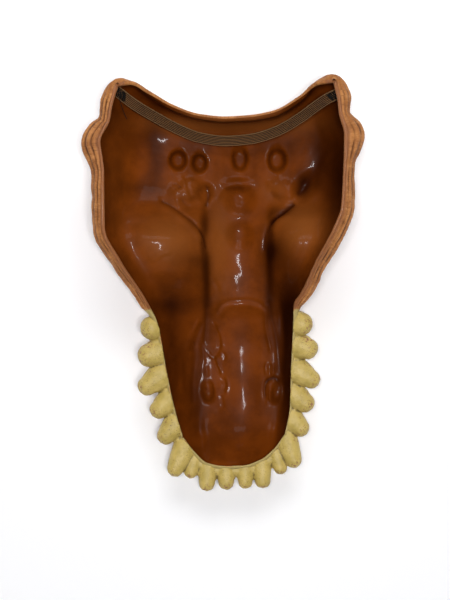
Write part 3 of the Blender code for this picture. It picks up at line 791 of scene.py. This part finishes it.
def elastic_material():
    """Woven elastic: fine cross threads over the ribs, olive brown, nearly black between the ribs as painted shade,
    and lighter along both edges as a painted highlight.
    """
    made = Shader("woven_elastic", 0.78)
    made.set(Specular_IOR_Level=0.2, Sheen_Weight=0.06)
    place = made.vector_attribute("weave")
    threads = made.nodes.new("ShaderNodeTexWave")
    threads.wave_type = "BANDS"
    threads.bands_direction = "X"
    threads.inputs["Scale"].default_value = 310
    threads.inputs["Distortion"].default_value = 1.2
    threads.inputs["Detail"].default_value = 1
    threads.inputs["Detail Scale"].default_value = 900
    made.links.new(place, threads.inputs["Vector"])
    cross = threads.outputs["Fac"]
    ribs = made.attribute("rib")
    # Painted shade: nearly black between the ribs, brown on their tops
    colour = made.mix(made.band(ribs, 0.3, 0.8), linear(8, 5, 2), linear(118, 80, 43))
    # Painted highlight along both edges
    edge = made.attribute("edge")
    colour = made.mix(edge, colour, linear(134, 110, 76))
    made.link(colour, "Base Color")
    fuzz = made.bump(made.noise(2600, 3, 0.6), 0.0001)
    made.link(made.bump(cross, 0.00007, fuzz), "Normal")
    return made.material


def thread_material():
    made = Shader("black_thread", 0.7)
    made.set(Specular_IOR_Level=0.15)
    colour = made.mix(made.band(made.noise(1800, 3, 0.6), 0.4, 0.7), linear(12, 9, 7), linear(34, 27, 21))
    made.link(colour, "Base Color")
    made.link(made.bump(made.noise(2600, 3, 0.6), 0.0002), "Normal")
    return made.material


def floor_material():
    """White table that glows further out, so that it stays pale where the lights fade."""
    made = Shader("white_table", 0.9, (0.95, 0.95, 0.95))
    made.set(Specular_IOR_Level=0.0, Emission_Color=(1, 1, 1, 1))
    away = made.nodes.new("ShaderNodeVectorMath")
    away.operation = "LENGTH"
    made.links.new(made.place, away.inputs[0])
    made.link(made.band(away.outputs["Value"], 0.60, 3.0, 0.03, 0.80), "Emission Strength")
    return made.material


def point_attribute(mesh, name, values):
    values = np.asarray(values, np.float32)
    kind = "FLOAT" if values.ndim == 1 else "FLOAT_VECTOR"
    layer = mesh.attributes.new(name, kind, "POINT")
    layer.data.foreach_set("value" if values.ndim == 1 else "vector", values.ravel())


def add_piece(name, mesh, materials, slot, *nodes):
    made = bpy.data.objects.new(name, mesh)
    bpy.context.scene.collection.objects.link(made)
    for finish in materials:
        mesh.materials.append(finish)
    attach(made, "root")
    if nodes:
        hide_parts(*nodes)
    return made


def build_skin():
    """The moulding: inner and outer skin on one fine grid, closed with a rounded edge."""
    rows, cols = ALONG_CELLS + 1, ACROSS_CELLS + 1
    down, across = np.meshgrid(spread(ALONG_CELLS), spread(ACROSS_CELLS), indexing="ij")
    points, place, rim = skin(across.ravel(), down.ravel())
    x, y = place
    distance, around = rim[0], rim[6]
    normal = grid_normals(points, rows, cols)
    if normal[:, 2].mean() < 0:
        normal = -normal
    relief = np.zeros(len(x))
    for stroke in STROKES:
        relief += stroke_rise(x, y, stroke)
    # Painted shade: darker where the relief sinks into a groove
    groove_shade = np.clip(-relief / 0.0024, 0, 1)
    flat = np.stack([x, y, np.zeros(len(x))], axis=1)
    middle = seen(243, 300)[0]
    calm = 1 - 0.75 * np.exp(-(((x - middle) / (11 * PIXEL)) ** 2))
    relief += calm * (0.00026 * waves(flat, 0.012, 1) + 0.00012 * waves(flat, 0.005, 2))
    relief += 0.0005 * waves(flat * np.array([0.4, 1, 1]), 0.016, 9) * (1 - calm)
    inside = points + normal * relief[:, None]

    back = np.clip((y / HALF_LENGTH - 0.72) / 0.06, 0, 1) * (np.abs(x / HALF_WIDTH - 0.02) < 0.72)
    in_row = np.clip((TOOTH_ROW[0] * HALF_LENGTH + 0.012 - y) / 0.006, 0, 1)
    gum = in_row * np.clip(1.4 - distance / 0.010, 0, 1)
    corner = np.zeros(len(x))
    for end in (BACK_LEFT, BACK_RIGHT):
        apart = np.hypot(x - end[0] * HALF_WIDTH, y - end[1] * HALF_LENGTH)
        corner = np.maximum(corner, np.exp(-((apart / CORNER_REACH) ** 2)))
    bead = np.exp(-((distance / BEAD_REACH) ** 2)) * (1 - in_row)
    inside += normal * (BEAD * (1 + corner) * bead)[:, None]
    under = back * np.exp(-(((distance - 2.6 * BEAD_REACH) / (0.7 * BEAD_REACH)) ** 2))
    inside -= normal * (0.6 * BEAD * under)[:, None]
    # Painted shadow along the undercut behind the bead of the back edge
    groove_shade = np.maximum(groove_shade, 0.9 * under)

    step = np.clip(distance / rim[5], 0, 1)
    bulge = np.maximum(smooth(column(WALL_PROFILE, 0), column(WALL_PROFILE, 1), step), 0)
    swelling = np.where(step < 0.18, bulge, 1 + 5 * (step - 0.18))
    side = np.stack([around, swelling * 0.004, np.zeros(len(x))], axis=1)
    phase = 0.50 + FOLDS * swelling + 0.40 * waves(side, 0.032, 3) + 0.14 * waves(side, 0.007, 4)
    fold = np.abs(np.sin(math.pi * phase))
    cross = waves(np.stack([around, swelling * 0.010, np.zeros(len(x))], axis=1), 0.0032, 5)
    lobe = waves(side, 0.016, 8)
    wrinkle = 0.0019 * (fold - 0.6) + 0.00026 * cross + 0.0007 * lobe + 0.0005 * waves(side, 0.0065, 16)
    crease = (1 - fold) ** 1.3 * (0.80 + 0.5 * waves(side, 0.011, 15)) * (1 - corner)
    lumps = waves(points, 0.014, 6)
    folds = np.abs(waves(points * np.array([1.0, 0.55, 1.0]), 0.010, 7))
    far = np.clip(distance / 0.02 - 0.5, 0, 1)
    groove = np.clip(0.16 - folds, 0, 1) / 0.16
    wrinkle = wrinkle * (1 - far) + far * (0.0007 * lumps - 0.0010 * groove)
    keep = (1 - 0.75 * back) * (1 - 0.95 * gum)
    # Painted shade: darker in the creases of the folds along the rim and of the skin further out
    crease_shade = (crease * (1 - far) + 0.8 * groove * far) * keep
    thick = WALL * (1 - 0.4 * gum) + BEAD * (1 + corner) * bead
    outside = inside - normal * (thick + wrinkle * keep)[:, None]
    outside[:, 2] = np.maximum(outside[:, 2], 0)

    index = np.arange(rows * cols).reshape(rows, cols)
    loop = np.concatenate([index[0, :-1], index[:-1, -1], index[-1, :0:-1], index[:0:-1, 0]])
    inner_next = np.concatenate([index[1, :-1], index[:-1, -2], index[-2, :0:-1], index[:0:-1, 1]])
    away = points[loop] - points[inner_next]
    away /= np.linalg.norm(away, axis=1, keepdims=True)
    lip = (inside[loop] + outside[loop]) / 2 + away * (0.38 * thick[loop])[:, None]
    total = rows * cols
    vertices = np.concatenate([inside, outside, lip])
    cell = np.stack([index[:-1, :-1], index[1:, :-1], index[1:, 1:], index[:-1, 1:]], axis=-1).reshape(-1, 4)
    ahead = np.roll(np.arange(len(loop)), -1)
    lip_index = 2 * total + np.arange(len(loop))
    strip_in = np.stack([loop, loop[ahead], lip_index[ahead], lip_index], axis=1)
    strip_out = np.stack([lip_index, lip_index[ahead], loop[ahead] + total, loop + total], axis=1)
    faces = np.concatenate([cell, cell[:, ::-1] + total, strip_in, strip_out])
    mesh = bpy.data.meshes.new("mask_skin")
    mesh.from_pydata(vertices.tolist(), [], faces.tolist())
    bm = bmesh.new()
    bm.from_mesh(mesh)
    bmesh.ops.recalc_face_normals(bm, faces=bm.faces)
    bm.to_mesh(mesh)
    bm.free()
    mesh.shade_smooth()
    kinds = np.concatenate([np.zeros(len(cell)), np.ones(len(cell)), np.ones(2 * len(loop))])
    mesh.polygons.foreach_set("material_index", kinds.astype(np.int32))
    # Painted light (pale) and painted shade (dark) in the hollow, from the table of painted tones
    pale, dark = np.zeros(len(x)), np.zeros(len(x))
    for px, py, wide, long, amount in PAINTED_LIGHT_AND_SHADE:
        middle = seen(px, py)
        reach = np.hypot((x - middle[0]) / (wide * PIXEL), (y - middle[1]) / (long * PIXEL))
        here = np.abs(amount) * np.exp(-(reach**2))
        pale, dark = (pale + here, dark) if amount > 0 else (pale, dark + here)
    edge = np.exp(-((distance / (0.45 * BEAD_REACH)) ** 2)) * (1 - 0.6 * back) * (1 - in_row)
    grain = np.stack([around, distance, np.zeros(len(x))], axis=1)
    for name, values in (
        ("groove", groove_shade),
        ("crease_shade", crease_shade),
        ("gum", gum),
        ("pale", np.clip(pale, 0, 1)),
        ("dark", np.clip(dark, 0, 1)),
        ("edge", edge),
        ("grain", grain),
    ):
        on_lip = values[loop]
        if name == "gum":
            on_lip = on_lip * np.clip(0.62 + 0.9 * waves(points[loop], 0.007, 14), 0, 1)
        point_attribute(mesh, name, np.concatenate([values, values, on_lip]))
    add_piece("mask_skin", mesh, (hollow_material(), skin_material()), "skin_rubber", "mask_shell")
    turned = np.cross(inside[cell[:, 1]] - inside[cell[:, 0]], inside[cell[:, 3]] - inside[cell[:, 0]])
    facing = cell if (turned * normal[cell[:, 0]]).sum() > 0 else cell[:, ::-1]
    return BVHTree.FromPolygons(inside.tolist(), facing.tolist())


def snout_rim():
    """The rim between the ends of the tooth row, left to right, and its arc length."""
    share = np.linspace(0, 1, RIM_SAMPLES)
    left, right = LEFT(share), RIGHT(1 - share)
    left = left[:, left[1] < TOOTH_ROW[0] * HALF_LENGTH]
    right = right[:, right[1] < TOOTH_ROW[1] * HALF_LENGTH]
    path = np.concatenate([left, FRONT(share)[:, 1:-1], right], axis=1)[:3]
    length = np.concatenate([[0], np.cumsum(np.hypot(*np.diff(path[:2], axis=1)))])
    return path, length


def tooth_frame(row, rim):
    """Root and tip of one tooth in the frame, with its half widths in metres."""
    root_x, root_y, tip_x, tip_y, root_half, tip_half = row
    root, tip = np.array(seen(root_x, root_y)), np.array(seen(tip_x, tip_y))
    nearest = np.hypot(rim[0] - root[0], rim[1] - root[1]).argmin()
    height = rim[2, nearest] - TOOTH_ROOT_DROP
    reach = np.hypot(*(tip - root))
    start = leaned(root[:1], root[1:], np.array([height]))[0]
    end = leaned(tip[:1], tip[1:], np.array([height + reach * math.tan(TOOTH_RISE)]))[0]
    return start, end, root_half * PIXEL, tip_half * PIXEL


def tooth_body(bm, start, end, root_half, tip_half):
    """A fat cone with a round end from start to end, flattened upright."""
    axis = Vector(end - start)
    long = axis.length
    axis.normalize()
    level = axis.cross(Vector((0, 0, 1))).normalized()
    up = level.cross(axis)
    rings, sides = 22, 28
    total = long + tip_half
    grid = []
    for i in range(rings + 1):
        reach = -0.15 * long + (total + 0.15 * long) * i / rings
        share = np.clip(reach / long, 0, 1)
        half = root_half + (tip_half - root_half) * share**2.2
        if reach > long:
            half = tip_half * math.sqrt(max(0.0, 1 - ((reach - long) / tip_half) ** 2))
        centre = Vector(start) + axis * reach
        ring = []
        for j in range(sides):
            turn = 2 * math.pi * j / sides
            depth = TOOTH_DEPTH + (0.92 - TOOTH_DEPTH) * share
            ring.append(bm.verts.new(centre + level * half * math.cos(turn) + up * half * depth * math.sin(turn)))
        grid.append(ring)
    for low, high in zip(grid, grid[1:]):
        for j in range(sides):
            bm.faces.new((low[j], low[(j + 1) % sides], high[(j + 1) % sides], high[j]))
    bm.faces.new(grid[0][::-1])
    bm.faces.new(grid[-1])


def gum_body(bm, rim):
    """The band that joins the roots, along the outside of the rim."""
    step = rim[:, ::12]
    run = np.gradient(step[:2], axis=1)
    run /= np.hypot(*run)
    out = np.stack([run[1], -run[0]])
    if (out[1] * step[1]).sum() < 0:
        out = -out
    place = step[:2] + out * GUM_OUT
    middle = leaned(place[0], place[1], step[2] - GUM_DROP)
    sides = 20
    grid = []
    for i, centre in enumerate(middle):
        end = min(i, len(middle) - 1 - i) / 3
        size = math.sqrt(np.clip(1 - (1 - min(end, 1)) ** 2, 0.02, 1))
        ring = []
        for j in range(sides):
            turn = 2 * math.pi * j / sides
            level = Vector((*out[:, i], 0)) * math.cos(turn) * GUM_RADIUS[0] * size
            ring.append(bm.verts.new(Vector(centre) + level + Vector((0, 0, math.sin(turn) * GUM_RADIUS[1] * size))))
        grid.append(ring)
    for low, high in zip(grid, grid[1:]):
        for j in range(sides):
            bm.faces.new((low[j], low[(j + 1) % sides], high[(j + 1) % sides], high[j]))
    bm.faces.new(grid[0][::-1])
    bm.faces.new(grid[-1])


def remeshed(bm, name, voxel, smoothing):
    """One closed mesh round all the bodies of bm."""
    bmesh.ops.recalc_face_normals(bm, faces=bm.faces)
    rough = bpy.data.meshes.new(name + "_rough")
    bm.to_mesh(rough)
    bm.free()
    helper = bpy.data.objects.new(name + "_rough", rough)
    bpy.context.scene.collection.objects.link(helper)
    remesh = helper.modifiers.new("remesh", "REMESH")
    remesh.mode = "VOXEL"
    remesh.voxel_size = voxel
    soften = helper.modifiers.new("smooth", "SMOOTH")
    soften.factor = 0.5
    soften.iterations = smoothing
    bpy.context.view_layer.update()
    graph = bpy.context.evaluated_depsgraph_get()
    mesh = bpy.data.meshes.new_from_object(helper.evaluated_get(graph))
    mesh.name = name
    bpy.data.objects.remove(helper, do_unlink=True)
    return mesh


def mesh_arrays(mesh):
    points = np.empty(len(mesh.vertices) * 3)
    mesh.vertices.foreach_get("co", points)
    normals = np.empty(len(mesh.vertices) * 3)
    mesh.vertices.foreach_get("normal", normals)
    edges = np.empty(len(mesh.edges) * 2, np.int64)
    mesh.edges.foreach_get("vertices", edges)
    return points.reshape(-1, 3), normals.reshape(-1, 3), edges.reshape(-1, 2)


def hollowness(points, normals, edges, passes):
    """How far each point lies below its neighbours, in metres, smoothed."""
    count = np.bincount(edges.ravel(), minlength=len(points)).astype(float)

    def average(values):
        total = np.zeros_like(values)
        np.add.at(total, edges[:, 0], values[edges[:, 1]])
        np.add.at(total, edges[:, 1], values[edges[:, 0]])
        return total / count.reshape(-1, *([1] * (values.ndim - 1)))

    around = points
    for _ in range(passes):
        around = average(around)
    return ((around - points) * normals).sum(axis=1)


def outside_of(points, tree):
    """Points with each one that lies in the hollow moved into the wall, and which were moved."""
    moved, sunk = points.copy(), np.zeros(len(points), bool)
    for i, point in enumerate(points):
        place, normal, _, _ = tree.find_nearest(point)
        depth = (Vector(point) - place).dot(normal)
        if depth > -ROOT_DEPTH:
            moved[i] = place - normal * ROOT_DEPTH
            sunk[i] = True
    return moved, sunk


def drop_buried(mesh, sunk):
    """Takes out the faces whose points were all moved into the wall, where nothing shows them."""
    bm = bmesh.new()
    bm.from_mesh(mesh)
    bm.verts.ensure_lookup_table()
    buried = [face for face in bm.faces if all(sunk[corner.index] for corner in face.verts)]
    bmesh.ops.delete(bm, geom=buried, context="FACES")
    bm.to_mesh(mesh)
    bm.free()


def build_teeth(tree):
    """All the teeth and the band at their roots, fused as they are moulded, then dented and worn."""
    rim, _ = snout_rim()
    bm = bmesh.new()
    frames = [tooth_frame(row, rim) for row in TEETH]
    for start, end, root_half, tip_half in frames:
        tooth_body(bm, start, end, root_half, tip_half)
    gum_body(bm, rim)
    mesh = remeshed(bm, "teeth", TOOTH_VOXEL, 2)
    points, normals, edges = mesh_arrays(mesh)
    points = points + normals * (0.00035 * waves(points, 0.006, 11) + 0.00018 * waves(points, 0.0022, 12))[:, None]
    moved, sunk = outside_of(points, tree)
    mesh.vertices.foreach_set("co", moved.ravel())
    mesh.update()
    # How hollow each point lies, for the painted shade in the creases
    crease = np.clip(hollowness(points, normals, edges, 4) / 0.00035, 0, 1)
    tip = np.zeros(len(points))
    for start, end, root_half, tip_half in frames:
        axis = end - start
        long = np.linalg.norm(axis)
        along = (points - start) @ axis / long
        near = np.linalg.norm(points - end, axis=1) < 1.7 * tip_half
        share = np.clip((along - long + 0.1 * tip_half) / (0.9 * tip_half), 0, 1)
        tip = np.maximum(tip, np.where(near, share, 0))
    specks = np.clip(0.35 + tip + waves(points, 0.02, 13), 0, 1)
    point_attribute(mesh, "crease", crease)
    point_attribute(mesh, "tip", tip)
    point_attribute(mesh, "specks", specks)
    mesh.shade_smooth()
    names = [f"tooth_left_{i}" for i in range(1, 10)] + [f"tooth_right_{i}" for i in range(1, 10)]
    drop_buried(mesh, sunk)
    return add_piece("teeth", mesh, (tooth_material(),), "tooth_paint", *names)


def strap_route(steps):
    """Points along the middle of the strap, its ends just clear of the skin."""
    table = np.array(STRAP_LINE, float).T * np.array([[HALF_WIDTH], [HALF_LENGTH], [MASK_DEPTH]])
    hung = leaned(*table)
    ends = []
    for across, down, standoff in STRAP_ENDS:
        near = np.array([[across, down], [across + SKIN_PROBE, down], [across, down + SKIN_PROBE]]).T
        corner, right, ahead = skin(*near)[0]
        inward = np.cross(ahead - corner, right - corner)
        ends.append(corner + inward / np.linalg.norm(inward) * (GAP + standoff * STRAP_WIDTH))
    points = np.vstack([ends[0], hung, ends[1]]).T
    chord = np.sqrt((np.diff(points, axis=1) ** 2).sum(axis=0))
    share = np.concatenate([[0], np.cumsum(chord)]) / chord.sum()
    return smooth(share, points, np.linspace(0, 1, steps + 1)).T


def strap_axes(centre):
    along = np.gradient(centre, axis=0)
    along /= np.linalg.norm(along, axis=1, keepdims=True)
    level = np.cross(along, (0, 0, 1))
    level /= np.linalg.norm(level, axis=1, keepdims=True)
    face = np.cross(level, along)
    side = level * math.cos(STRAP_TILT) - face * math.sin(STRAP_TILT)
    return along, side, np.cross(side, along)


def build_strap():
    """The elastic, a flat ribbon with lengthwise ribs on both faces."""
    centre = strap_route(STRAP_STEPS)
    along, side, up = strap_axes(centre)
    per_face = 8 * STRAP_RIBS
    t = np.linspace(-1, 1, per_face + 1)
    ribs = 0.5 + 0.5 * np.cos(math.pi * STRAP_RIBS * (t + 1) + math.pi)
    edge = np.sqrt(np.clip(1 - np.abs(t) ** 14, 0, 1))
    rise = (STRAP_THICKNESS / 2 - RIB_HEIGHT + RIB_HEIGHT * ribs) * edge
    width = t * STRAP_WIDTH / 2
    offset = np.concatenate([width, width[-2:0:-1]])
    height = np.concatenate([rise, -rise[-2:0:-1]])
    rib = np.concatenate([ribs, ribs[-2:0:-1]])
    sides = len(offset)
    length = np.concatenate([[0], np.cumsum(np.linalg.norm(np.diff(centre, axis=0), axis=1))])
    rings = (
        centre[:, None, :] + side[:, None, :] * offset[None, :, None] + up[:, None, :] * height[None, :, None]
    )
    count = len(centre)
    faces = [
        (sides * i + j, sides * i + (j + 1) % sides, sides * (i + 1) + (j + 1) % sides, sides * (i + 1) + j)
        for i in range(count - 1)
        for j in range(sides)
    ]
    faces += [tuple(range(sides))[::-1], tuple(sides * (count - 1) + j for j in range(sides))]
    mesh = bpy.data.meshes.new("strap")
    mesh.from_pydata(rings.reshape(-1, 3).tolist(), [], faces)
    bm = bmesh.new()
    bm.from_mesh(mesh)
    bmesh.ops.recalc_face_normals(bm, faces=bm.faces)
    bm.to_mesh(mesh)
    bm.free()
    mesh.shade_smooth()
    weave = np.stack(
        [
            np.repeat(length, sides),
            np.tile(offset, count),
            np.tile(height, count),
        ],
        axis=1,
    )
    point_attribute(mesh, "weave", weave)
    # Rib profile for the painted shade between the ribs, and edge share for the painted highlight along both edges
    point_attribute(mesh, "rib", np.tile(rib, count))
    point_attribute(mesh, "edge", np.tile(np.clip((np.abs(offset) / (STRAP_WIDTH / 2) - 0.88) / 0.08, 0, 1), count))
    return add_piece("strap", mesh, (elastic_material(),), "strap_elastic", "head_strap")


def thread_curve(name, points, finish, radius=THREAD_RADIUS):
    curve = bpy.data.curves.new(name, "CURVE")
    curve.dimensions = "3D"
    curve.bevel_depth = radius
    curve.bevel_resolution = 2
    curve.use_fill_caps = True
    spline = curve.splines.new("POLY")
    spline.points.add(len(points) - 1)
    for point, at in zip(spline.points, points):
        point.co = (*at, 1)
    curve.materials.append(finish)
    made = bpy.data.objects.new(name, curve)
    bpy.context.scene.collection.objects.link(made)
    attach(made, "root")
    return made


def build_threads():
    """Black thread wound round each end of the elastic, and its loose tail on the left."""
    centre = strap_route(STRAP_STEPS)
    along, side, up = strap_axes(centre)
    finish = thread_material()
    for name, at, lift in (("knot_left", 12, 1), ("knot_right", STRAP_STEPS - 12, -1)):
        points = []
        turns, steps = 9, 26
        for i in range(turns * steps + 1):
            turn = 2 * math.pi * i / steps
            wander = 0.0034 * noise.noise(Vector((i * 0.045, 3.1 * lift, 0)))
            slide = (i / (turns * steps) - 0.5) * 0.009 + wander + 0.002 * math.cos(turn)
            reach = 0.0036 + 0.0008 * noise.noise(Vector((i * 0.03, 7.7 * lift, 2)))
            point = centre[at] + along[at] * slide + side[at] * reach * math.cos(turn)
            points.append(point + up[at] * (0.0014 + 0.0002 * (i / steps)) * math.sin(turn))
        thread_curve(name, points, finish)
    start = centre[10]
    height = start[2]
    tail_px = ((118.5, 93), (119.5, 99), (121.5, 106), (124, 113), (126.5, 119))
    tail = []
    for i, (px, py) in enumerate(tail_px):
        x, y = seen(px, py)
        tail.append(leaned(np.array([x]), np.array([y]), np.array([height + 0.002 - 0.0035 * i]))[0])
    share = np.linspace(0, 1, len(tail))
    fine = smooth(share, np.array(tail).T, np.linspace(0, 1, 30)).T
    thread_curve("thread_tail", fine, finish, 0.0003)


def build_stage():
    """A white table that curves up into a white backdrop, far away all round."""
    rings, sides = 24, 96
    bm = bmesh.new()
    grid = []
    for i in range(rings + 1):
        share = i / rings
        reach = STAGE_RADIUS * min(1, 1.6 * share)
        height = STAGE_HEIGHT * max(0, (share - 0.5) / 0.5) ** 2 - 0.0003
        turns = [2 * math.pi * j / sides for j in range(sides)]
        grid.append([bm.verts.new((reach * math.cos(a), reach * math.sin(a), height)) for a in turns] if i else [])
    middle = bm.verts.new((0, 0, -0.0003))
    for j in range(sides):
        bm.faces.new((middle, grid[1][j], grid[1][(j + 1) % sides]))
    for low, high in zip(grid[1:], grid[2:]):
        for j in range(sides):
            bm.faces.new((low[j], high[j], high[(j + 1) % sides], low[(j + 1) % sides]))
    mesh = bpy.data.meshes.new("table")
    bm.to_mesh(mesh)
    bm.free()
    mesh.shade_smooth()
    mesh.materials.append(floor_material())
    table = bpy.data.objects.new("table", mesh)
    bpy.context.scene.collection.objects.link(table)


def area_light(name, place, size, power, colour=(1, 1, 1), aim=(0, 0, 0.04)):
    light = bpy.data.lights.new(name, "AREA")
    light.shape = "RECTANGLE"
    light.size, light.size_y = size
    light.energy = power
    light.color = colour
    made = bpy.data.objects.new(name, light)
    made.location = place
    made.rotation_euler = (Vector(aim) - Vector(place)).to_track_quat("-Z", "Y").to_euler()
    bpy.context.scene.collection.objects.link(made)
    return made


def build_lights():
    scene = bpy.context.scene
    world = bpy.data.worlds.new("studio")
    world.use_nodes = True
    world.node_tree.nodes["Background"].inputs["Color"].default_value = (1, 1, 1, 1)
    world.node_tree.nodes["Background"].inputs["Strength"].default_value = 0.04
    scene.world = world
    scene.view_settings.view_transform = "Standard"
    area_light("key", (0.03, -0.02, 2.1), (0.10, 0.50), 33, (0.97, 0.97, 1.0))
    area_light("back", (0.1, 1.3, 1.7), (1.2, 0.8), 18, (1, 1, 1))


def build_camera():
    camera = bpy.data.cameras.new("camera")
    camera.sensor_fit = "VERTICAL"
    camera.sensor_height = 36
    camera.lens = CAMERA_LENS
    made = bpy.data.objects.new("camera", camera)
    middle = LEAN_AXIS + TABLE_MIDDLE
    made.location = (middle[0], middle[1], CAMERA_HEIGHT)
    bpy.context.scene.collection.objects.link(made)
    bpy.context.scene.camera = made


build_camera()
hollow_tree = build_skin()
build_teeth(hollow_tree)
build_strap()
build_threads()
build_stage()
build_lights()

bpy.context.view_layer.update()
